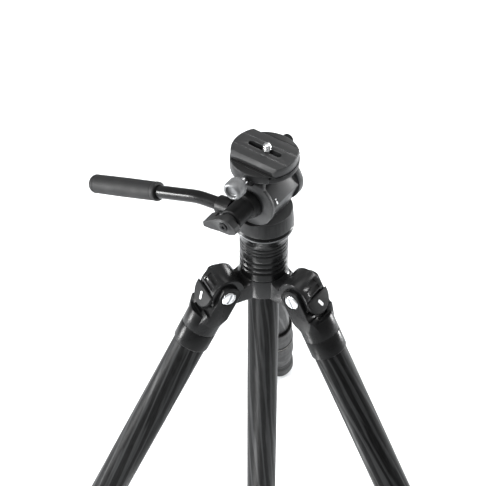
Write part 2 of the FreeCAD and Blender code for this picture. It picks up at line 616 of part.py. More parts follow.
def camera_screw():
    """Camera screw with a domed tip, a neck in the slot and a slotted head in the plate's pocket."""
    head_low, head_top, dome = PLATE_BOTTOM + 0.3, 133.6, 1.6
    screw = turned([(0, head_low), (SCREW_HEAD_R, head_low), (SCREW_HEAD_R, head_top),
                    (SCREW_NECK_R, head_top), (SCREW_NECK_R, SCREW_SHOULDER), (SCREW_R, SCREW_SHOULDER),
                    (SCREW_R, SCREW_TIP - dome), (2.6, SCREW_TIP - 0.7),
                    (1.5, SCREW_TIP - 0.1), (0, SCREW_TIP)])
    screw = screw.cut(block((-5, 5), (-0.6, 0.6), (head_low, head_low + 1)))
    screw.translate(Vector(SCREW_X, 0, 0))
    return screw


def release_button():
    """Sprung button on the far side that frees the plate's stop."""
    return turned_across([(0, 19.5), (3.0, 19.5), (3.0, 29.6), (4.8, 29.6), (4.8, 32.8),
                          (4.0, 33.6), (0, 33.6)], BUTTON_Z)


# ---------------------------------------------------------------- handle


def handle_boss():
    """Stepped boss on the axle that holds the pan handle, with its side socket."""
    edge = 0.8
    body = turned_across([(0, -BOSS_OUT), (BOSS_R - edge, -BOSS_OUT), (BOSS_R, edge - BOSS_OUT),
                          (BOSS_R, -BOSS_RIM - edge), (BOSS_RIM_R - edge, -BOSS_RIM - edge),
                          (BOSS_RIM_R, -BOSS_RIM), (BOSS_FLANGE_R, -BOSS_IN - edge),
                          (BOSS_FLANGE_R - edge, -BOSS_IN), (0, -BOSS_IN)], TILT_Z)
    start = Vector(HANDLE_START[0], HANDLE_Y, TILT_Z + HANDLE_START[1])
    body = body.fuse(Part.makeCylinder(7.6, 12.0, start, handle_direction(0)))
    bore = Part.makeCylinder(HANDLE_TUBE_R, 20, start, handle_direction(0))
    return body.cut([bore, cross_cylinder(AXLE_END_R + RUN, -50, -20, 0, TILT_Z)])


def handle_points():
    """Start, bend and tip of the handle's centre line."""
    return [Vector(x, HANDLE_Y, TILT_Z + up) for x, up in (HANDLE_START, HANDLE_BEND, HANDLE_TIP)]


def handle_direction(run):
    """Unit vector along one of the handle's two runs."""
    points = handle_points()
    return (points[run + 1] - points[run]).normalize()


def handle_path(end_short):
    """Centre line of the tube: two runs joined by a tangent arc."""
    start, bend, tip = handle_points()
    first, second = handle_direction(0), handle_direction(1)
    half_turn = first.getAngle(second) / 2
    setback = HANDLE_BEND_R * math.tan(half_turn)
    enter, leave = bend - first * setback, bend + second * setback
    inward = (second - first).normalize()
    centre = bend + inward * (HANDLE_BEND_R / math.cos(half_turn))
    middle = centre - inward * HANDLE_BEND_R
    end = tip - second * end_short
    return Part.Wire([Part.LineSegment(start, enter).toShape(), Part.Arc(enter, middle, leave).toShape(),
                      Part.LineSegment(leave, end).toShape()])


def handle_tube():
    """Cranked handle tube, from the boss to inside the grip."""
    path = handle_path(8.0)
    start = handle_points()[0]
    circle = Part.makeCircle(HANDLE_TUBE_R, start, handle_direction(0))
    return path.makePipeShell([Part.Wire([circle])], True, False)


def handle_grip():
    """Grip with a rounded end."""
    round_r = 6.0
    profile = [(0, 0), (GRIP_R - 1.0, 0), (GRIP_R, 1.2), (GRIP_R, GRIP_LENGTH - round_r)]
    for step in range(1, 7):
        angle = math.radians(15 * step)
        profile.append((GRIP_R - round_r * (1 - math.cos(angle)),
                        GRIP_LENGTH - round_r * (1 - math.sin(angle))))
    profile.append((0, GRIP_LENGTH))
    grip = turned(profile).cut(cylinder(HANDLE_TUBE_R, 0, GRIP_LENGTH - 8.0))
    second = handle_direction(1)
    grip.Placement = FreeCAD.Placement(handle_points()[2] - second * GRIP_LENGTH,
                                       FreeCAD.Rotation(Vector(0, 0, 1), second))
    return grip


def handle_wing():
    """Wing nut that clamps the handle on its axle."""
    hub = turned_across([(0, -WING_OUT), (5.6, -WING_OUT), (6.4, -WING_OUT + 0.8), (6.4, -WING_IN),
                         (0, -WING_IN)], TILT_Z)
    outline = [(-19.4, -9.4), (-20.0, -5.2), (-13.0, -0.4), (-5.5, 5.6), (3.5, 5.8), (9.5, 2.4),
               (11.4, -1.0), (10.2, -3.4), (4.5, -6.2), (-5.0, -7.2), (-12.5, -8.8)]
    corners = [Vector(x, -WING_OUT + 0.4, TILT_Z + z) for x, z in outline]
    bar = Part.Face(Part.makePolygon(corners + corners[:1])).extrude(Vector(0, 6.2, 0))
    paddle = [Vector(x, -WING_OUT + 0.4, TILT_Z + z) for x, z in outline if x < -12]
    paddle = Part.Face(Part.makePolygon(paddle + paddle[:1])).extrude(Vector(0, 12.6, 0))
    body = hub.fuse([bar, paddle])
    return body.cut([cross_cylinder(WING_PIN_R + RUN, -60, -40, 0, TILT_Z),
                     cross_cylinder(3.7, -60, -WING_OUT + 1.0, 0, TILT_Z),
                     cross_cylinder(BOSS_R + 0.4, -BOSS_OUT - 0.2, -40, 0, TILT_Z)]).removeSplitter()


def wing_screw():
    """Socket screw head on the axle's end, which keeps the wing nut on."""
    low = -WING_OUT + 0.8
    head = turned_across([(0, low), (3.3, low), (3.3, -WING_OUT - 0.4), (2.9, -WING_OUT - 0.8),
                          (0, -WING_OUT - 0.8)], TILT_Z)
    corners = [Vector(1.5 * math.cos(math.radians(60 * i)), -WING_OUT - 1,
                      TILT_Z + 1.5 * math.sin(math.radians(60 * i))) for i in range(6)]
    socket = Part.Face(Part.makePolygon(corners + corners[:1])).extrude(Vector(0, 1.4, 0))
    return head.cut(socket)


def all_parts():
    """Every node's name and shape, in place."""
    parts = {}
    for side, azimuth in LEG_AZIMUTHS.items():
        for name, shape in leg_parts(azimuth).items():
            parts[f"{name}_{side}"] = shape
    for make in (spider, column_bush, column_lock, centre_column, column_end_cap, weight_ring):
        parts[make.__name__] = in_hub(make())
    head = (pan_base, pan_retainer, pan_body, pan_lock_knob, tilt_platform, tilt_axle,
            tilt_cartridge, tilt_lock_knob, clamp_jaw, clamp_stud, clamp_knob, quick_plate,
            camera_screw, release_button, handle_boss, handle_tube, handle_grip, handle_wing,
            wing_screw)
    for make in head:
        parts[make.__name__] = in_head(make())
    return parts


os.makedirs("parts", exist_ok=True)
for node, shape in all_parts().items():
    shape.exportStep(f"parts/{node}.step")
    solids = len(shape.Solids)
    print(f"{node}: {solids} solid, {shape.Volume / 1000:.2f} cm3, valid {shape.isValid()}")
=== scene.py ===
"""Looks of the tripod, its fluid head and its handle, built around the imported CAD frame.

Pieces are drawn in millimetres in the frame that suits them and are then placed:
  leg frame   pivot at the origin, tube hanging down -Z, +X away from the column
  hub frame   column axis on Z, heights above the hub plane
  head frame  as the hub frame, turned so that +X is the lens direction and -Y the handle side
"""

import bmesh
import bpy
import json
import math
from mathutils import Matrix, Quaternion, Vector


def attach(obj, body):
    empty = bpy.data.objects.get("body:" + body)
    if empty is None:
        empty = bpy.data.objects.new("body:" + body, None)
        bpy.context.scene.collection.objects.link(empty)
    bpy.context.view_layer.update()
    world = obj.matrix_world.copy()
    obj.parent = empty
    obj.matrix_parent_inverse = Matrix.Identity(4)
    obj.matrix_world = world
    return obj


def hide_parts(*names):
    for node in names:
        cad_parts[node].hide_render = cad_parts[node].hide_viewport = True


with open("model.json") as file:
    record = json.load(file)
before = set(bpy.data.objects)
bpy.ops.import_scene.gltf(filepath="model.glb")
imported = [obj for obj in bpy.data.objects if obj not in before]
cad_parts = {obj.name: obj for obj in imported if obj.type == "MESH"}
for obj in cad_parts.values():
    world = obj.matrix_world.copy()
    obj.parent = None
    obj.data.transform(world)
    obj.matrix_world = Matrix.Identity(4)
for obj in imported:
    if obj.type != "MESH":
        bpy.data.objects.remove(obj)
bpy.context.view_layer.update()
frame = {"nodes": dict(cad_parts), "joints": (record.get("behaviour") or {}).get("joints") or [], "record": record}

MM = 0.001
SIDES = ("left", "right", "rear")
JOINTS = {j["name"]: j for j in frame["joints"]}
BODY_OF = {node: body for body, nodes in frame["record"]["behaviour"]["bodies"].items() for node in nodes}
TAU = 2 * math.pi


# ---------------------------------------------------------------- frames


def basis(x, y, z, origin):
    """Matrix with these axes and origin."""
    m = Matrix.Identity(4)
    for column, axis in enumerate((x, y, z)):
        for row in range(3):
            m[row][column] = axis[row]
    m.translation = origin
    return m


def leg_frame(side):
    """The leg frame of one side, from its joints."""
    hinge = JOINTS[f"leg_spread_{side}"]
    y = -Vector(hinge["axis"]).normalized()
    z = -Vector(JOINTS[f"middle_section_slide_{side}"]["axis"]).normalized()
    return basis(y.cross(z), y, z, Vector(hinge["pos_m"]))


LEG = {side: leg_frame(side) for side in SIDES}
HUB_Z = JOINTS["column_lock_twist"]["pos_m"][2]
HUB = Matrix.Translation((0, 0, HUB_Z))
_across = Vector(JOINTS["tilt"]["axis"]).normalized()
HEAD = basis(_across.cross(Vector((0, 0, 1))), _across, Vector((0, 0, 1)), Vector((0, 0, HUB_Z)))


def extent(node, place):
    """Lowest and highest corners of a CAD node in a local frame, in millimetres."""
    inverse = place.inverted()
    points = [inverse @ v.co / MM for v in frame["nodes"][node].data.vertices]
    low = Vector([min(p[i] for p in points) for i in range(3)])
    high = Vector([max(p[i] for p in points) for i in range(3)])
    return low, high


# ---------------------------------------------------------------- mesh helpers


CREASE = math.radians(32)  # edges sharper than this are shaded sharp
MERGE = 1e-6  # metres between points that count as one


def piece(name, bm, place, node, material, replaces=True):
    """Finish a mesh drawn in millimetres, give it a material, and put it on a CAD node's body.

    The piece stands for the node, or is an addition to it where replaces is False.
    """
    bmesh.ops.scale(bm, vec=(MM, MM, MM), verts=bm.verts)
    bmesh.ops.transform(bm, matrix=place, verts=bm.verts)
    bmesh.ops.remove_doubles(bm, verts=bm.verts, dist=MERGE)
    bmesh.ops.recalc_face_normals(bm, faces=bm.faces)
    mesh = bpy.data.meshes.new(name)
    bm.to_mesh(mesh)
    bm.free()
    mesh.shade_smooth()
    mesh.set_sharp_from_angle(angle=CREASE)
    mesh.materials.append(material)
    obj = bpy.data.objects.new(name, mesh)
    bpy.context.scene.collection.objects.link(obj)
    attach(obj, BODY_OF[node])
    if replaces:
        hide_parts(node)


def rounded(points, radius, closed=True):
    """Replace the corners of an outline by small curves."""
    steps, share_of_side, nearly_straight = 3, 0.45, math.radians(172)
    result = []
    count = len(points)
    for i, point in enumerate(points):
        here = Vector(point)
        if not closed and i in (0, count - 1):
            result.append(here)
            continue
        before = Vector(points[i - 1]) - here
        after = Vector(points[(i + 1) % count]) - here
        if before.length < 1e-6 or after.length < 1e-6:
            result.append(here)
            continue
        reach = min(radius, before.length * share_of_side, after.length * share_of_side)
        start = here + before.normalized() * reach
        end = here + after.normalized() * reach
        if before.angle(after) > nearly_straight or reach < 1e-3:
            result.append(here)
            continue
        for step in range(steps + 1):
            t = step / steps
            result.append(start * (1 - t) ** 2 + here * 2 * t * (1 - t) + end * t * t)
    return [tuple(p) for p in result]


def lathe(outline, steps=96, closed=False, shape=None):
    """Revolve (radius, z) points about Z; shape(angle, radius, z) may change the radius."""
    bm = bmesh.new()
    rings = []
    for radius, z in outline:
        if radius < 1e-6:
            rings.append([bm.verts.new((0, 0, z))])
            continue
        ring = []
        for i in range(steps):
            angle = TAU * i / steps
            r = shape(angle, radius, z) if shape else radius
            ring.append(bm.verts.new((r * math.cos(angle), r * math.sin(angle), z)))
        rings.append(ring)
    pairs = list(zip(rings, rings[1:]))
    if closed:
        pairs.append((rings[-1], rings[0]))
    for a, b in pairs:
        for i in range(steps):
            j = (i + 1) % steps
            if len(a) == 1 and len(b) == 1:
                continue
            if len(a) == 1:
                bm.faces.new((a[0], b[i], b[j]))
            elif len(b) == 1:
                bm.faces.new((a[i], b[0], a[j]))
            else:
                bm.faces.new((a[i], b[i], b[j], a[j]))
    return bm


def prism(outline, low, high, axis="z"):
    """Extrude a closed outline along Z, or along X with the outline in Y and Z."""
    bm = bmesh.new()

    def at(u, v, w):
        return (u, v, w) if axis == "z" else (w, u, v)

    bottom = [bm.verts.new(at(u, v, low)) for u, v in outline]
    top = [bm.verts.new(at(u, v, high)) for u, v in outline]
    bm.faces.new(bottom)
    bm.faces.new(top)
    count = len(outline)
    for i in range(count):
        j = (i + 1) % count
        bm.faces.new((bottom[i], bottom[j], top[j], top[i]))
    return bm


def soften_edges(bm, width, segments, angle):
    """Bevel every edge sharper than angle degrees."""
    bmesh.ops.recalc_face_normals(bm, faces=bm.faces)
    sharp = [e for e in bm.edges if e.is_manifold and e.calc_face_angle(0) > math.radians(angle)]
    bmesh.ops.bevel(bm, geom=sharp, offset=width, offset_type="OFFSET", segments=segments,
                    profile=0.5, affect="EDGES", clamp_overlap=True)


def join(*meshes):
    """Put several bmeshes together."""
    whole = bmesh.new()
    for bm in meshes:
        mesh = bpy.data.meshes.new("part")
        bm.to_mesh(mesh)
        bm.free()
        whole.from_mesh(mesh)
        bpy.data.meshes.remove(mesh)
    return whole


def in_order(bm):
    """The same mesh with its points and faces in a fixed order, because cutting leaves a varying one."""
    points = sorted({tuple(vert.co) for vert in bm.verts})
    number = {point: i for i, point in enumerate(points)}
    loops = []
    for face in bm.faces:
        loop = [number[tuple(vert.co)] for vert in face.verts]
        first = loop.index(min(loop))
        loops.append(loop[first:] + loop[:first])
    bm.free()
    ordered = bmesh.new()
    verts = [ordered.verts.new(point) for point in points]
    for loop in sorted(loops):
        ordered.faces.new([verts[i] for i in loop])
    return ordered


def moved(bm, matrix):
    """Move a bmesh by a matrix whose translation is in millimetres."""
    bmesh.ops.transform(bm, matrix=matrix, verts=bm.verts)
    return bm


def smoothstep(low, high, value):
    """0 below low, 1 above high, and a smooth rise between them."""
    t = min(max((value - low) / (high - low), 0.0), 1.0)
    return t * t * (3 - 2 * t)


# ---------------------------------------------------------------- materials


def build(tree, kind, settings=None, **inputs):
    """Add a node; inputs are values or sockets, with _ for a space in their names."""
    node = tree.nodes.new(kind)
    for key, value in (settings or {}).items():
        setattr(node, key, value)
    for key, value in inputs.items():
        name = key.replace("_", " ")
        socket = node.inputs[int(key[1:])] if key[0] == "i" and key[1:].isdigit() else node.inputs[name]
        if isinstance(value, bpy.types.NodeSocket):
            tree.links.new(value, socket)
        else:
            socket.default_value = value
    return node


def maths(tree, operation, a, b=0.0):
    """Output of a maths node."""
    return build(tree, "ShaderNodeMath", {"operation": operation}, i0=a, i1=b).outputs[0]


def ramp(tree, value, low, high, to_low=0.0, to_high=1.0):
    """Map low..high to to_low..to_high, with a limit at both ends."""
    node = build(tree, "ShaderNodeMapRange", None, Value=value)
    for name, number in (("From Min", low), ("From Max", high), ("To Min", to_low), ("To Max", to_high)):
        node.inputs[name].default_value = number
    return node.outputs["Result"]


def noise(tree, vector, scale, detail=2.0, rough=0.5):
    """Noise from 0 to 1; scale is in features per metre."""
    node = build(tree, "ShaderNodeTexNoise", None, Vector=vector, Scale=scale, Detail=detail)
    node.inputs["Roughness"].default_value = rough
    return node.outputs["Fac"]


def mix(tree, factor, a, b):
    """Mix two colours."""
    node = build(tree, "ShaderNodeMix", {"data_type": "RGBA"})
    for index, value in ((0, factor), (6, a), (7, b)):
        if isinstance(value, bpy.types.NodeSocket):
            tree.links.new(value, node.inputs[index])
        else:
            node.inputs[index].default_value = value
    return node.outputs[2]


def grey(value, tint=0.0):
    """A neutral colour, a little cool for a positive tint."""
    return (value * (1 - tint), value, value * (1 + tint), 1.0)


def start(name, place=None):
    """New material with its tree, its output, and object coordinates in a local frame."""
    material = bpy.data.materials.new(name)
    material.use_nodes = True
    tree = material.node_tree
    tree.nodes.clear()
    out = tree.nodes.new("ShaderNodeOutputMaterial")
    vector = tree.nodes.new("ShaderNodeTexCoord").outputs["Object"]
    if place is not None:
        turn = place.inverted()
        mapping = build(tree, "ShaderNodeMapping", None, Vector=vector)
        mapping.inputs["Location"].default_value = turn.translation
        mapping.inputs["Rotation"].default_value = turn.to_euler()
        vector = mapping.outputs[0]
    return material, tree, out, vector


def worn_edges(tree, vector, radius, amount):
    """Normal with softened edges, and a mask of the edges, broken up by noise."""
    chips = 260
    bevel = build(tree, "ShaderNodeBevel", {"samples": 4}, Radius=radius)
    plain = tree.nodes.new("ShaderNodeNewGeometry")
    dot = build(tree, "ShaderNodeVectorMath", {"operation": "DOT_PRODUCT"},
                i0=bevel.outputs[0], i1=plain.outputs["Normal"]).outputs["Value"]
    edge = ramp(tree, maths(tree, "SUBTRACT", 1.0, dot), 0.015, 0.18)
    patches = ramp(tree, noise(tree, vector, chips, 4.0), 0.42, 0.68, 0.15, 1.0)
    return bevel.outputs[0], maths(tree, "MULTIPLY", maths(tree, "MULTIPLY", edge, patches), amount)


def finish_surface(tree, out, colour, rough, normal, metallic=0.0, **constants):
    """Shader of a material; constants go straight to its own sockets."""
    shader = build(tree, "ShaderNodeBsdfPrincipled", None, Base_Color=colour, Roughness=rough,
                   Normal=normal)
    shader.inputs["Metallic"].default_value = metallic
    for key, value in constants.items():
        shader.inputs[key.replace("_", " ")].default_value = value
    tree.links.new(shader.outputs[0], out.inputs["Surface"])


def coated(name, low, high, edge_wear_and_sheen, rough, grain=2600.0, bump=0.25, metallic=0.0, wear_and_sheen=0.5,
           edge=0.5, place=None, tint=0.02, painted_shade=None, **constants):
    """Anodised, painted or moulded surface: uneven tone, fine grain, worn and softened edges,
    and painted shade and highlight where asked.

    low and high are the tones it varies between, and the third tone is that of its edges: edge
    wear, and on the head casting also a painted highlight. edge is their softening in millimetres.
    The painted shade argument, as (tone, z, z), is painted shade: the colour fades to that darker
    tone between two heights of place.
    """
    patches, smudges, grain_depth = 38.0, 90, 0.00006
    material, tree, out, vector = start(name, place)
    tone = ramp(tree, noise(tree, vector, patches, 5.0, 0.6), 0.3, 0.7)
    fine = noise(tree, vector, grain, 3.0, 0.6)
    soft, edges = worn_edges(tree, vector, edge * MM, wear_and_sheen)
    colour = mix(tree, tone, grey(low, tint), grey(high, tint))
    # painted shade: the colour darkens to a set tone between two heights of place
    if painted_shade is not None:
        dark, painted_shade_low, painted_shade_high = painted_shade
        level = build(tree, "ShaderNodeSeparateXYZ", None, Vector=vector).outputs["Z"]
        colour = mix(tree, ramp(tree, level, painted_shade_low, painted_shade_high), colour, grey(dark, tint))
    colour = mix(tree, ramp(tree, fine, 0.35, 0.7, 0.0, 0.15), colour, grey(high * 1.25, tint))
    # edge tone: edge wear, and on the head casting also a painted highlight along its ridges
    colour = mix(tree, edges, colour, grey(edge_wear_and_sheen, tint))
    smudge = noise(tree, vector, smudges, 3.0)
    level = ramp(tree, smudge, 0.3, 0.7, rough[0], rough[1])
    level = maths(tree, "ADD", level, ramp(tree, fine, 0.3, 0.7, -0.03, 0.03))
    level = maths(tree, "SUBTRACT", level, maths(tree, "MULTIPLY", edges, 0.1))
    normal = build(tree, "ShaderNodeBump", None, Strength=bump, Distance=grain_depth, Height=fine,
                   Normal=soft).outputs[0]
    finish_surface(tree, out, colour, level, normal, metallic, **constants)
    return material


def carbon(name, place=None):
    """Satin carbon tube with long helical bands of fibre and fine strands."""
    twist, bands_around = 5.0, 12.0  # radians per metre of length; bands in one turn
    stretch = (1.0, 1.0, 0.06)  # draws the noise out along the tube
    waver, strand_scale, fleck_scale, relief = 160, 1500, 900, 0.00005
    material, tree, out, vector = start(name, place)
    parts = build(tree, "ShaderNodeSeparateXYZ", None, Vector=vector)
    around = maths(tree, "ARCTAN2", parts.outputs["Y"], parts.outputs["X"])
    along = maths(tree, "MULTIPLY", parts.outputs["Z"], twist)
    turned = build(tree, "ShaderNodeVectorRotate", {"rotation_type": "Z_AXIS"}, Vector=vector,
                   Angle=along).outputs[0]
    long = build(tree, "ShaderNodeVectorMath", {"operation": "MULTIPLY"}, i0=turned,
                 i1=stretch).outputs[0]
    uneven = ramp(tree, noise(tree, long, waver, 2.0, 0.5), 0.3, 0.7, -2.2, 2.2)
    phase = maths(tree, "MULTIPLY", maths(tree, "ADD", around, along), bands_around)
    wave = maths(tree, "SINE", maths(tree, "ADD", phase, uneven))
    bands = ramp(tree, wave, -0.1, 1.0)
    strands = noise(tree, long, strand_scale, 3.0, 0.6)
    flecks = noise(tree, vector, fleck_scale, 2.0)
    soft, edges = worn_edges(tree, vector, 0.3 * MM, 0.3)
    tone = maths(tree, "ADD", maths(tree, "MULTIPLY", bands, 0.8),
                 ramp(tree, strands, 0.35, 0.65, 0.0, 0.2))
    colour = mix(tree, tone, grey(0.001, 0.02), grey(0.03, 0.02))
    colour = mix(tree, edges, colour, grey(0.05))
    rough = maths(tree, "ADD", ramp(tree, bands, 0.0, 1.0, 0.42, 0.33),
                  ramp(tree, flecks, 0.3, 0.7, -0.03, 0.04))
    height = maths(tree, "ADD", maths(tree, "MULTIPLY", bands, 0.5), strands)
    normal = build(tree, "ShaderNodeBump", None, Strength=0.2, Distance=relief, Height=height,
                   Normal=soft).outputs[0]
    finish_surface(tree, out, colour, rough, normal, Specular_IOR_Level=0.07)
    return material


def machined(name, low, high, rough, rings=True):
    """Turned or polished metal with faint smears, and fine tool lines across Z, or across Y without rings."""
    smear_scale, line_scale, relief = 300, 420, 0.00004
    material, tree, out, vector = start(name)
    smears = noise(tree, vector, smear_scale, 4.0, 0.6)
    stretch = (1.0, 1.0, 14.0) if rings else (1.0, 14.0, 1.0)
    lines = noise(tree, build(tree, "ShaderNodeVectorMath", {"operation": "MULTIPLY"}, i0=vector,
                              i1=stretch).outputs[0], line_scale, 2.0)
    soft, edges = worn_edges(tree, vector, 0.25 * MM, 0.4)
    colour = mix(tree, ramp(tree, smears, 0.3, 0.7), grey(low, 0.01), grey(high, 0.01))
    colour = mix(tree, edges, colour, grey(min(high * 1.1, 0.95)))
    level = maths(tree, "ADD", ramp(tree, smears, 0.3, 0.7, rough[0], rough[1]),
                  ramp(tree, lines, 0.3, 0.7, -0.02, 0.04))
    normal = build(tree, "ShaderNodeBump", None, Strength=0.15, Distance=relief, Height=lines,
                   Normal=soft).outputs[0]
    finish_surface(tree, out, colour, level, normal, metallic=1.0)
    return material


CASTING = coated("casting", 0.004, 0.008, 0.06, (0.24, 0.34), Specular_IOR_Level=0.12)
LUG = coated("hub_casting", 0.008, 0.014, 0.05, (0.18, 0.26), bump=0.08, wear_and_sheen=0.05,
             Specular_IOR_Level=0.22)
TAB = coated("tab_metal", 0.005, 0.009, 0.07, (0.4, 0.5), Specular_IOR_Level=0.1)
# painted shade: the pan body darkens below 79.2 mm in the head frame, on its side wall under the lit top face; its
# light edges are edge wear and partly a painted highlight along the drum's ridge
BODY = coated("head_casting_painted_shade_and_sheen", 0.034, 0.046, 0.4, (0.36, 0.46), wear_and_sheen=0.8, edge=0.4, place=HEAD,
              painted_shade=(0.01, 0.0798, 0.0792), Specular_IOR_Level=0.18)
PLATE = coated("plate_metal", 0.018, 0.025, 0.26, (0.34, 0.42), wear_and_sheen=0.9, Specular_IOR_Level=0.28)
# painted shade: the platform's disc and the clamp jaw darken above 119.5 mm in the head frame, darker than the
# arms below them
PLATFORM = coated("platform_metal_painted_shade", 0.034, 0.044, 0.3, (0.34, 0.44), wear_and_sheen=0.8, place=HEAD,
                  painted_shade=(0.007, 0.1175, 0.1195), Specular_IOR_Level=0.16)
BLACK = coated("black_metal", 0.003, 0.006, 0.06, (0.24, 0.32), Specular_IOR_Level=0.14)
BASE = coated("pan_base_metal", 0.003, 0.006, 0.12, (0.24, 0.32), Specular_IOR_Level=0.14)
# painted highlight: light grey metal standing in for the sheen of a thin band on the black pan base
SHEEN_RING = coated("pan_ring_painted_sheen", 0.1, 0.15, 0.3, (0.28, 0.38), metallic=0.8)
TUBE = coated("handle_paint", 0.004, 0.008, 0.05, (0.2, 0.26), bump=0.1, Specular_IOR_Level=0.15)
KNOB = coated("knob_metal", 0.13, 0.16, 0.4, (0.36, 0.4), metallic=0.5)
MOULDED = coated("moulded_plastic", 0.004, 0.008, 0.05, (0.36, 0.46), grain=1800.0, bump=0.5,
                 Specular_IOR_Level=0.12)
WING = coated("wing_plastic", 0.012, 0.02, 0.08, (0.38, 0.48), grain=1800.0, bump=0.4,
              Specular_IOR_Level=0.25)
RUBBER = coated("rubber", 0.003, 0.006, 0.02, (0.42, 0.54), grain=3200.0, bump=0.6, wear_and_sheen=0.3,
                tint=-0.06, Specular_IOR_Level=0.1)
GRIP = coated("grip_foam", 0.007, 0.013, 0.04, (0.56, 0.7), grain=2400.0, bump=0.7, wear_and_sheen=0.2,
              Specular_IOR_Level=0.22)
PIN = coated("pin_chrome", 0.66, 0.72, 0.8, (0.16, 0.22), metallic=0.86, bump=0.05, wear_and_sheen=0.1)
NYLON = coated("nylon", 0.55, 0.62, 0.7, (0.4, 0.5))
WHITE = coated("white_print", 0.74, 0.8, 0.85, (0.45, 0.55), bump=0.1, wear_and_sheen=0.1, edge=0.02)
RIM = coated("lock_rim", 0.16, 0.22, 0.4, (0.35, 0.45), metallic=0.5, tint=-0.2)
CHROME = machined("chrome", 0.72, 0.82, (0.06, 0.14), rings=False)
STEEL = machined("steel", 0.5, 0.62, (0.18, 0.3))
CARBON_HUB = carbon("carbon_column", HUB)
CARBON_LEG = {side: carbon(f"carbon_{side}", LEG[side]) for side in SIDES}


def paint(node, material):
    """Give a CAD node its material."""
    mesh_slots = frame["nodes"][node].data.materials
    mesh_slots.clear()
    mesh_slots.append(material)


for node, material in {
    "spider": LUG, "column_bush": NYLON, "column_lock": BLACK, "centre_column": CARBON_HUB,
    "column_end_cap": CASTING, "weight_ring": STEEL, "pan_base": BASE, "pan_retainer": STEEL,
    "pan_body": BODY, "pan_lock_knob": MOULDED, "tilt_platform": PLATFORM, "tilt_axle": STEEL,
    "tilt_cartridge": STEEL, "tilt_lock_knob": MOULDED, "clamp_jaw": PLATFORM,
    "clamp_stud": CHROME, "clamp_knob": KNOB, "quick_plate": PLATE, "camera_screw": STEEL,
    "release_button": BLACK, "handle_boss": MOULDED, "handle_tube": TUBE, "handle_grip": GRIP,
    "handle_wing": WING, "wing_screw": BLACK,
}.items():
    paint(node, material)
for side in SIDES:
    for node, material in {
        "leg_casting": CASTING, "pivot_pin": PIN, "angle_tab": TAB,
        "upper_tube": CARBON_LEG[side], "middle_tube": CARBON_LEG[side],
        "lower_tube": CARBON_LEG[side], "middle_bush": NYLON, "lower_bush": NYLON,
        "upper_lock": RUBBER, "lower_lock": RUBBER, "foot": RUBBER,
    }.items():
        paint(f"{node}_{side}", material)

# ---------------------------------------------------------------- softened castings


def soft_copy(node, material, width):
    """Copy of a CAD node with its sharp edges rounded to a width in millimetres."""
    coplanar, sharp, segments = math.radians(0.6), 30, 2
    bm = bmesh.new()
    bm.from_mesh(frame["nodes"][node].data)
    bmesh.ops.scale(bm, vec=(1 / MM, 1 / MM, 1 / MM), verts=bm.verts)
    bmesh.ops.remove_doubles(bm, verts=bm.verts, dist=1e-3)
    bmesh.ops.dissolve_limit(bm, angle_limit=coplanar, verts=bm.verts, edges=bm.edges)
    soften_edges(bm, width, segments, sharp)
    piece(f"soft_{node}", bm, Matrix.Identity(4), node, material)


SOFT = {"spider": (LUG, 0.5), "tilt_platform": (PLATFORM, 0.35), "pan_body": (BODY, 0.35),
        "quick_plate": (PLATE, 0.3), "clamp_jaw": (PLATFORM, 0.3), "handle_boss": (MOULDED, 0.5),
        "handle_wing": (WING, 0.8), "release_button": (BLACK, 0.3), "column_end_cap": (CASTING, 0.4)}
for side in SIDES:
    SOFT[f"leg_casting_{side}"] = (CASTING, 0.45)
    SOFT[f"angle_tab_{side}"] = (TAB, 0.4)
for soft_node, (soft_material, soft_width) in SOFT.items():
    soft_copy(soft_node, soft_material, soft_width)

# ---------------------------------------------------------------- legs


def cut_slot(bm, half_wide, half_long, depth, beyond):
    """Sink a straight slot in both ends of a mesh turned about Z, in its faces beyond a height."""
    for x, y in ((half_wide, 0), (-half_wide, 0), (0, half_long), (0, -half_long)):
        bmesh.ops.bisect_plane(bm, geom=bm.verts[:] + bm.edges[:] + bm.faces[:],
                               plane_co=(x, y, 0), plane_no=Vector((x, y, 0)).normalized())
    for end in (-1, 1):
        faces = []
        for face in bm.faces:
            middle = face.calc_center_median()
            if abs(middle.x) < half_wide and abs(middle.y) < half_long and middle.z * end > beyond:
                faces.append(face)
        moved_in = bmesh.ops.extrude_face_region(bm, geom=faces)["geom"]
        verts = [item for item in moved_in if isinstance(item, bmesh.types.BMVert)]
        bmesh.ops.translate(bm, vec=(0, 0, -end * depth), verts=verts)
        bmesh.ops.delete(bm, geom=faces, context="FACES")
    return in_order(bm)


def pivot_pin(side):
    """Chrome pin with domed, slotted heads, each sunk in its ear with a dark gap round it."""
    node = f"pivot_pin_{side}"
    half = extent(node, LEG[side])[1].y
    shaft_r, head_r, dome, sunk = 4.0, 6.1, 0.9, 1.4
    edge, chamfer, quarter = 0.4, 0.5, 12
    face_r = head_r - chamfer
    head = [(shaft_r, half - sunk), (head_r, half - sunk), (head_r, half - edge)]
    head += [(head_r - chamfer * t, half - edge + edge * t) for t in (0.5, 1.0)]
    for step in range(1, quarter):
        angle = step * TAU / (4 * quarter)
        head.append((face_r * math.cos(angle), half + dome * math.sin(angle)))
    head.append((0, half + dome))
    outline = [(r, -z) for r, z in reversed(head)] + head
    place = LEG[side] @ Matrix.Rotation(math.radians(-90), 4, "X")
    bm = cut_slot(lathe(outline, 64), half_wide=0.85, half_long=4.6, depth=1.2, beyond=half)
    piece(f"heads_{node}", bm, place, node, PIN)


FLUTES, FLUTE_DEPTH = 24, 0.14
LOCK_R, LOCK_STEP = 16.4, 1.5
UPPER_R, MIDDLE_R, LOWER_R = 14.0, 12.5, 11.0
TUBE_CLEAR = 0.06


def steps_between(low, high, step):
    """Evenly spaced heights from low to high."""
    count = max(1, round(abs(high - low) / step))
    return [low + (high - low) * i / count for i in range(count + 1)]


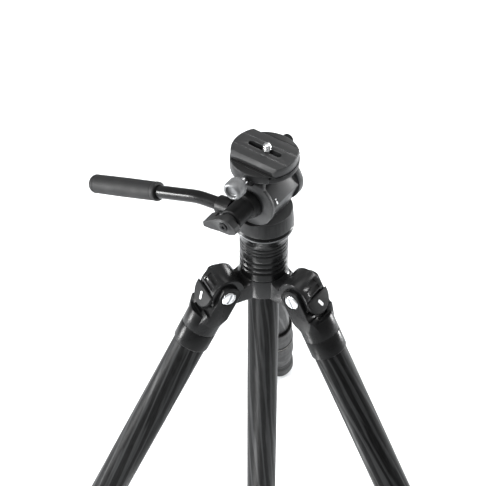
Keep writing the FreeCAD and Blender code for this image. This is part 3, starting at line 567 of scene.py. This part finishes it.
def flutes(count, depth, low, high, fade=2.0):
    """Radius function that cuts rounded flutes between two heights."""
    def shape(angle, radius, z):
        reach = smoothstep(low, low + fade, z) * smoothstep(-high, fade - high, -z)
        return radius - depth * reach * max(0.0, math.cos(count * angle)) ** 3
    return shape


def flute_outside(low, high):
    """Flutes on the outside of a lock only, so that its bore stays round."""
    cut = flutes(FLUTES, FLUTE_DEPTH, low, high)
    return lambda angle, radius, z: cut(angle, radius, z) if radius > LOCK_R - 1.5 else radius


def upper_lock(side):
    """Fluted rubber collar with a plain rim and a thin metal line above its lower edge."""
    node = f"upper_lock_{side}"
    low, high = extent(node, LEG[side])
    end, top = low.z, high.z
    lip = end + 9.0
    rim_r, rim_high, rim_low = LOCK_R + 0.5, end + 6, end + 2.6
    outer = rounded([(UPPER_R, top), (LOCK_R, top), (LOCK_R, top - 4)], 1.2, closed=False)
    outer += [(LOCK_R, z) for z in steps_between(top - 5, lip, LOCK_STEP)]
    outer += [(LOCK_R, end + 7), (rim_r, rim_high), (rim_r, rim_low)]
    outer += rounded([(LOCK_R + 0.1, end + 1.4), (LOCK_R - 0.1, end), (MIDDLE_R + 1, end)], 0.8,
                     closed=False)
    inner = [(MIDDLE_R + 0.3, end), (MIDDLE_R + 0.3, lip), (UPPER_R + TUBE_CLEAR, lip),
             (UPPER_R + TUBE_CLEAR, top)]
    bm = lathe(outer + inner, FLUTES * 8, closed=True, shape=flute_outside(lip, top - 5))
    piece(f"grip_{node}", bm, LEG[side], node, RUBBER)
    line_r, line_back = LOCK_R + 0.48, LOCK_R - 0.3
    line = [(line_r, rim_low), (line_r, end + 2.0), (line_back, end + 1.5), (line_back, rim_low)]
    piece(f"line_{node}", lathe(line, closed=True), LEG[side], node, RIM, replaces=False)


def lower_lock(side):
    """Fluted rubber collar that narrows to a waist above the foot."""
    node = f"lower_lock_{side}"
    low, high = extent(node, LEG[side])
    end, top = low.z, high.z
    waist, shoulder, lip, steps = 13.9, top - 36, end + 31.0, 12
    outer = rounded([(MIDDLE_R + 0.5, top), (LOCK_R, top), (LOCK_R, top - 4)], 1.0, closed=False)
    outer += [(LOCK_R, z) for z in steps_between(top - 5, shoulder, LOCK_STEP)]
    for t in [step / steps for step in range(1, steps)]:
        outer.append((LOCK_R + (waist - LOCK_R) * smoothstep(0, 1, t), shoulder + (end - shoulder) * t))
    outer += rounded([(waist, end + 2), (waist, end), (LOWER_R + 1, end)], 0.7, closed=False)
    inner = [(LOWER_R + 0.3, end), (LOWER_R + 0.3, lip), (MIDDLE_R + TUBE_CLEAR, lip),
             (MIDDLE_R + TUBE_CLEAR, top)]
    bm = lathe(outer + inner, FLUTES * 8, closed=True, shape=flute_outside(shoulder, top - 5))
    piece(f"grip_{node}", bm, LEG[side], node, RUBBER)


def foot(side):
    """Ringed rubber foot with a round end, flat where it stands."""
    node = f"foot_{side}"
    top = extent(node, LEG[side])[1].z
    radius, centre, socket_end = 15.0, -403.6, -392.0
    neck_r, wall_r, flare = 13.9, 15.2, 11
    ring_depth, ring_pitch, step = 0.14, 4.2, 0.75
    outer = [(LOWER_R + TUBE_CLEAR, top)]
    outer += rounded([(LOWER_R + 1, top), (neck_r, top), (neck_r, top - 2)], 0.6, closed=False)
    for z in steps_between(top - 3, centre, step):
        wall = neck_r + (wall_r - neck_r) * smoothstep(2 - top, 2 + flare - top, -z)
        ring = max(0.0, math.cos(TAU * (z - top) / ring_pitch)) ** 6
        outer.append((wall - ring_depth * ring * smoothstep(centre, centre + 3, z), z))
    for angle in [math.radians(7.5 * i) for i in range(1, 12)]:
        outer.append((radius * math.cos(angle), centre - radius * math.sin(angle)))
    outer.append((0, centre - radius))
    inner = [(0, socket_end), (LOWER_R + TUBE_CLEAR, socket_end)]
    bm = lathe(outer + inner, closed=True)
    to_leg = LEG[side].inverted()
    for vert in bm.verts:
        point = LEG[side] @ (vert.co * MM)
        if point.z < 0:
            point.z = 0
            vert.co = to_leg @ point / MM
    piece(f"ringed_{node}", bm, LEG[side], node, RUBBER)


def tab_bar(side):
    """Plain raised bar on the angle tab."""
    node = f"angle_tab_{side}"
    low, high = extent(node, LEG[side])
    long, wide, proud, root = 3.3, 1.3, 0.12, 0.6
    middle = Vector((high.x, 0, (low.z + high.z) / 2 + 0.8))
    outline = rounded([(-wide, -long), (wide, -long), (wide, long), (-wide, long)], 0.8)
    bm = prism(outline, -root, proud, axis="x")
    lean = Matrix.Rotation(math.radians(24), 4, "X")
    moved(bm, Matrix.Translation(middle) @ lean)
    piece(f"bar_{node}", bm, LEG[side], node, WHITE, replaces=False)


for side in SIDES:
    pivot_pin(side)
    upper_lock(side)
    lower_lock(side)
    foot(side)
    tab_bar(side)

# ---------------------------------------------------------------- column collar


def column_collar():
    """Twist collar with wavy grip grooves all round."""
    low, high = extent("column_lock", HUB)
    radius, bottom, top = high.y, low.z, high.z
    grooves = ((bottom + 8.5, 1.0), (bottom + 13.7, 1.0), (bottom + 19.6, 0.6))
    waves, wave_height, half = 3, 0.6, 0.95

    def shape(angle, r, z):
        if r < radius - 0.01:
            return r
        sway = wave_height * math.sin(waves * angle)
        return r - sum(d * math.exp(-((z - c - sway) / half) ** 2) for c, d in grooves)

    outer = rounded([(radius - 2, bottom), (radius, bottom), (radius, bottom + 2)], 0.8, closed=False)
    outer += [(radius, z) for z in steps_between(bottom + 2.5, top - 3, 0.45)]
    outer += rounded([(radius, top - 2), (radius, top), (radius - 2, top)], 0.8, closed=False)
    neck_top, neck_r, column_r = top - 4.2, 17.2, 13.0
    inner = [(column_r + 0.3, top), (column_r + 0.3, neck_top), (neck_r + TUBE_CLEAR, neck_top),
             (neck_r + TUBE_CLEAR, bottom)]
    bm = lathe(outer + inner, 180, closed=True, shape=shape)
    piece("collar_grooved", bm, HUB, "column_lock", BLACK)


column_collar()

# ---------------------------------------------------------------- pan base

CONE_LOW, RING_LOW, RING_TOP = 52.5, 61.0, 64.9
PAN_R, COLLAR_R = 24.0, 19.7


def pan_base():
    """Black flared base with two grooves, and a thin light grey ring below its bevelled top whose light tone is a
    painted highlight, standing in for sheen on the black metal.
    """
    low, high = extent("pan_base", HUB)
    foot_z, spigot_r, plug_r = 42.0, 9.0, 11.8
    groove_depth, groove_half, floor_half, steps = 0.7, 0.8, 0.3, 10
    grooves = []
    for z in (45.4, 49.0):
        grooves += [(COLLAR_R, z - groove_half), (COLLAR_R - groove_depth, z - floor_half),
                    (COLLAR_R - groove_depth, z + floor_half), (COLLAR_R, z + groove_half)]
    flare = [(COLLAR_R + (PAN_R - COLLAR_R) * t / steps, CONE_LOW + (RING_LOW - CONE_LOW) * t / steps)
             for t in range(steps + 1)]
    cone = [(plug_r, foot_z), (COLLAR_R - 0.5, foot_z), (COLLAR_R, foot_z + 0.5)] + grooves + flare
    cone += [(PAN_R - 2, RING_LOW), (PAN_R - 2, RING_LOW + 1.5), (PAN_R - 0.2, RING_LOW + 1.5),
             (PAN_R - 1.6, RING_TOP), (spigot_r, RING_TOP), (spigot_r, high.z), (0, high.z)]
    outline = [(0, low.z), (plug_r, low.z)] + cone
    piece("pan_base_cone", lathe(outline, 128), HUB, "pan_base", BASE)
    # painted highlight: this ring's light metal stands in for sheen on the black base
    ring = [(PAN_R - 2, RING_LOW + 0.2), (PAN_R - 0.3, RING_LOW + 0.2), (PAN_R, RING_LOW + 0.4),
            (PAN_R, RING_LOW + 1.1), (PAN_R - 0.3, RING_LOW + 1.4), (PAN_R - 2, RING_LOW + 1.4)]
    piece("pan_base_sheen_ring", lathe(ring, 128, closed=True), HUB, "pan_base", SHEEN_RING, replaces=False)


def pan_ticks():
    """Short white index ticks above the bright ring."""
    count, half_wide, root, proud, bevel = 24, 0.13, 0.2, 0.04, 33
    marks = []
    for i in range(count):
        tall = 1.3 if i % 3 == 0 else 0.7
        outline = [(-half_wide, 0), (half_wide, 0), (half_wide, tall), (-half_wide, tall)]
        bm = prism(outline, -root, proud)
        slope = Matrix.Rotation(math.radians(90 - bevel), 4, "X")
        lift = Matrix.Translation((0, -PAN_R + 0.6, RING_LOW + 2.1))
        marks.append(moved(bm, Matrix.Rotation(TAU * i / count, 4, "Z") @ lift @ slope))
    piece("pan_base_ticks", join(*marks), HUB, "pan_base", WHITE, replaces=False)


pan_base()
pan_ticks()

# ---------------------------------------------------------------- knobs


def clamp_knob():
    """Finely fluted metal knob, hollow at its outer end, and the bright collar behind it."""
    low, high = extent("clamp_knob", HEAD)
    centre_z = (low.z + high.z) / 2
    radius = (high.z - low.z) / 2
    start_at, end_at = -high.y, -low.y - 1.6
    place = HEAD @ Matrix.Translation((0, 0, centre_z * MM)) @ Matrix.Rotation(math.radians(90), 4, "X")
    outer = [(0, start_at), (6.2, start_at), (radius - 0.6, start_at + 2.0), (radius, start_at + 2.8)]
    outer += [(radius, z) for z in steps_between(start_at + 3.4, end_at - 3.0, 1.0)]
    outer += rounded([(radius, end_at - 2.4), (radius - 0.9, end_at - 0.6), (radius - 1.9, end_at),
                      (5.1, end_at), (4.7, end_at - 0.7), (4.6, end_at - 2.2), (4.0, end_at - 2.7),
                      (0, end_at - 2.7)], 0.4, closed=False)
    count = 48
    cut = flutes(count, 0.3, start_at + 2.6, end_at - 2.4, fade=1.0)
    bm = lathe(outer, count * 6, shape=lambda a, r, z: cut(a, r, z) if r > radius - 0.05 else r)
    piece("knob_clamp", bm, place, "clamp_knob", KNOB)
    collar = rounded([(2.4, start_at - 2.6), (3.3, start_at - 2.6), (3.6, start_at - 1.4),
                      (3.6, start_at + 0.3), (2.4, start_at + 0.3)], 0.3)
    piece("collar_clamp_knob", lathe(collar, 48, closed=True), place, "clamp_stud", PIN, replaces=False)


def lobed_knob(node, place, radius, start_at, end_at, lobes, body_r=0.0, inner_at=0.0):
    """Moulded knob with rounded lobes and a slightly dished face, on a stem where body_r is given."""
    depth = 1.5
    outer = [(0, start_at), (radius * 0.66, start_at), (radius * 0.92, start_at + 1.8)]
    outer += [(radius, z) for z in steps_between(start_at + 2.6, end_at - 2.0, 1.0)]
    outer += [(radius * 0.97, end_at - 1.0), (radius * 0.88, end_at - 0.3), (radius * 0.7, end_at),
              (radius * 0.4, end_at - 0.5), (0, end_at - 0.6)]
    if body_r:
        outer = [(0, inner_at), (body_r, inner_at), (body_r, start_at)] + outer[1:]

    def shape(angle, r, z):
        if r < radius * 0.6:
            return r
        return r - depth * (r / radius) * (0.5 + 0.5 * math.cos(lobes * angle)) ** 2

    bm = lathe(outer, lobes * 14, shape=shape)
    piece(f"knob_{node}", bm, place, node, MOULDED)


def frame_along(joint):
    """Frame with Z along a joint's axis, and its origin on the joint."""
    z = Vector(JOINTS[joint]["axis"]).normalized()
    side_way = Vector((0, 0, 1)) if abs(z.z) < 0.9 else Vector((1, 0, 0))
    x = side_way.cross(z).normalized()
    return basis(x, z.cross(x), z, Vector(JOINTS[joint]["pos_m"]))


clamp_knob()
tilt_lock_place = frame_along("tilt_lock_turn")
tilt_low, tilt_high = extent("tilt_lock_knob", tilt_lock_place)
lobed_knob("tilt_lock_knob", tilt_lock_place, 9.5, tilt_low.z, tilt_high.z, 7)
pan_lock_place = frame_along("pan_lock_turn")
pan_low, pan_high = extent("pan_lock_knob", pan_lock_place)
lobed_knob("pan_lock_knob", pan_lock_place, 7.0, pan_high.z - 11.5, pan_high.z, 6, 3.0, pan_low.z)

# ---------------------------------------------------------------- handle grip


def along_node(node):
    """Frame at a node's centre with Z along its longest direction, away from the lens."""
    points = [v.co.copy() for v in frame["nodes"][node].data.vertices]
    centre = sum(points, Vector()) / len(points)
    far = max(points, key=lambda p: (p - centre).length)
    way = (far - centre).normalized()
    for _ in range(12):
        way = sum(((p - centre) * (p - centre).dot(way) for p in points), Vector()).normalized()
    if way.dot(Vector(HEAD.col[0][:3])) > 0:
        way = -way
    x = Vector((0, 0, 1)).cross(way).normalized()
    return basis(x, way.cross(x), way, centre)


def handle_grip():
    """Foam grip with a bead at its near end, a fine groove towards each end and a domed tip."""
    place = along_node("handle_grip")
    low, high = extent("handle_grip", place)
    radius = high.x
    near, tip = low.z, high.z
    outer = [(5.45, near)] + rounded([(5.6, near), (radius - 0.4, near), (radius, near + 1.4),
                                      (radius, near + 3.4), (radius - 0.5, near + 4.0),
                                      (radius - 0.25, near + 4.8)], 0.5, closed=False)
    swell = steps_between(near + 6, tip - 8, 2.0)
    outer += [(radius - 0.25 + 0.25 * math.sin(math.pi * (z - near) / (tip - near)), z) for z in swell]
    outer += [(radius - 0.35, tip - 7.2), (radius - 0.1, tip - 6.6)]
    outer += [(radius - 6 * (1 - math.cos(t)), tip - 6 * (1 - math.sin(t)))
              for t in [math.radians(10 * i) for i in range(1, 9)]] + [(0, tip)]
    bm = lathe(outer + [(0, tip - 7.8), (5.45, tip - 7.8)], 96, closed=True)
    piece("grip_foam", bm, place, "handle_grip", GRIP)


handle_grip()

# ---------------------------------------------------------------- camera screw


def camera_screw():
    """Camera screw with its thread cut, a plain neck and a disc head."""
    origin = Vector(JOINTS["camera_screw_turn"]["pos_m"])
    place = basis(HEAD.col[0].xyz, HEAD.col[1].xyz, HEAD.col[2].xyz, origin)
    low, high = extent("camera_screw", place)
    pitch, radius, depth = 1.27, 3.175, 0.5
    shoulder, thread_end = high.z - 5.6, high.z - 1.5
    outline = [(0, low.z), (6.2, low.z), (6.5, low.z + 0.3), (6.5, low.z + 1.9), (6.2, low.z + 2.1),
               (2.3, low.z + 2.1), (2.3, shoulder)]
    outline += [(radius, z) for z in steps_between(shoulder, thread_end, 0.12)]
    outline += [(2.75, high.z - 0.95), (2.2, high.z - 0.5), (1.3, high.z - 0.12), (0, high.z)]

    def shape(angle, r, z):
        if abs(r - radius) > 1e-6:
            return r
        wave = abs(((z / pitch - angle / TAU) % 1.0) * 2 - 1)
        return r - depth * smoothstep(0.25, 0.95, wave)

    bm = lathe(outline, 72, shape=shape)
    piece("screw_threaded", bm, place, "camera_screw", STEEL)


camera_screw()

# ---------------------------------------------------------------- index marks on the head

RIDGE, SHOULDER = Vector((20.9, 0, 100.9)), Vector((13.0, 0, 115.5))
MARK_Y = -11.8


def drum_mark(name, outline, lower, upper, distance):
    """Thin raised mark on the drum's front, this far along the face from lower to upper."""
    along = (upper - lower).normalized()
    across = Vector((0, 1, 0))
    origin = lower + along * distance + across * MARK_Y
    local = basis(across, along, across.cross(along), origin)
    bm = moved(prism(outline, -0.1, 0.2), local)
    piece(name, bm, HEAD, "pan_body", WHITE, replaces=False)


drum_mark("mark_triangle", [(-0.9, 1.5), (0.9, 1.5), (0, 0)], RIDGE, SHOULDER, 3.8)
drum_mark("mark_bar", rounded([(-0.7, 0), (0.7, 0), (0.7, 2.6), (-0.7, 2.6)], 0.4), RIDGE, SHOULDER, 0.6)

# ---------------------------------------------------------------- camera, floor and light

VIEW_AZIMUTH = 5.04  # degrees, counted from -Y towards +X
VIEW_ELEVATION = 43.5
VIEW_DISTANCE = 1.4727
VIEW_AIM = Vector((-0.0168, 0.0, HUB_Z + 0.0382))
VIEW_LENS = 135.63

camera_data = bpy.data.cameras.new("camera")
camera_data.lens = VIEW_LENS
camera_data.sensor_width = 36
camera = bpy.data.objects.new("camera", camera_data)
camera.rotation_euler = (math.radians(90 - VIEW_ELEVATION), 0, math.radians(VIEW_AZIMUTH))
toward = camera.rotation_euler.to_matrix() @ Vector((0, 0, -1))
camera.location = VIEW_AIM - toward * VIEW_DISTANCE
bpy.context.scene.collection.objects.link(camera)
bpy.context.scene.camera = camera


def softbox(name, place, aim, width, height, power, turn=0.0):
    """Area light at place, pointing at aim and turned about its own axis."""
    data = bpy.data.lights.new(name, "AREA")
    data.shape = "RECTANGLE"
    data.size = width
    data.size_y = height
    data.energy = power
    light = bpy.data.objects.new(name, data)
    light.location = place
    facing = (Vector(aim) - Vector(place)).to_track_quat("-Z", "Y")
    light.rotation_euler = (facing @ Quaternion((0, 0, 1), math.radians(turn))).to_euler()
    light.visible_camera = False
    bpy.context.scene.collection.objects.link(light)


middle = (0, 0, 0.4)
softbox("top", (0, 0.1, 2.2), middle, 2.0, 2.0, 26)
softbox("key", (-1.2, -0.8, 1.45), middle, 0.45, 0.9, 22)
softbox("back", (0.5, 1.8, 1.1), middle, 0.3, 0.9, 12)
softbox("right", (1.5, 0.9, 0.2), middle, 0.25, 0.6, 36)
softbox("left", (-1.6, -0.25, 0.4), middle, 0.3, 0.6, 46)
softbox("rim", (1.15, 1.0, 1.2), middle, 0.5, 0.5, 16)
softbox("low", (-0.2, -0.24, 0.012), (-0.2, -0.24, 1.0), 0.05, 0.5, 1.0, 39)

world = bpy.data.worlds.new("studio")
world.use_nodes = True
world.node_tree.nodes["Background"].inputs[0].default_value = (1, 1, 1, 1)
world.node_tree.nodes["Background"].inputs[1].default_value = 0.45
bpy.context.scene.world = world

floor_mesh = bpy.data.meshes.new("floor")
half_side = 6.0
corners = [(x * half_side, y * half_side, 0) for x, y in ((-1, -1), (1, -1), (1, 1), (-1, 1))]
floor_mesh.from_pydata(corners, [], [(0, 1, 2, 3)])
floor = bpy.data.objects.new("floor", floor_mesh)
floor_mesh.materials.append(coated("floor_paper", 0.9, 0.92, 0.92, (0.8, 0.9), bump=0.05, wear_and_sheen=0.0))
bpy.context.scene.collection.objects.link(floor)
bpy.context.scene.view_settings.view_transform = "Standard"
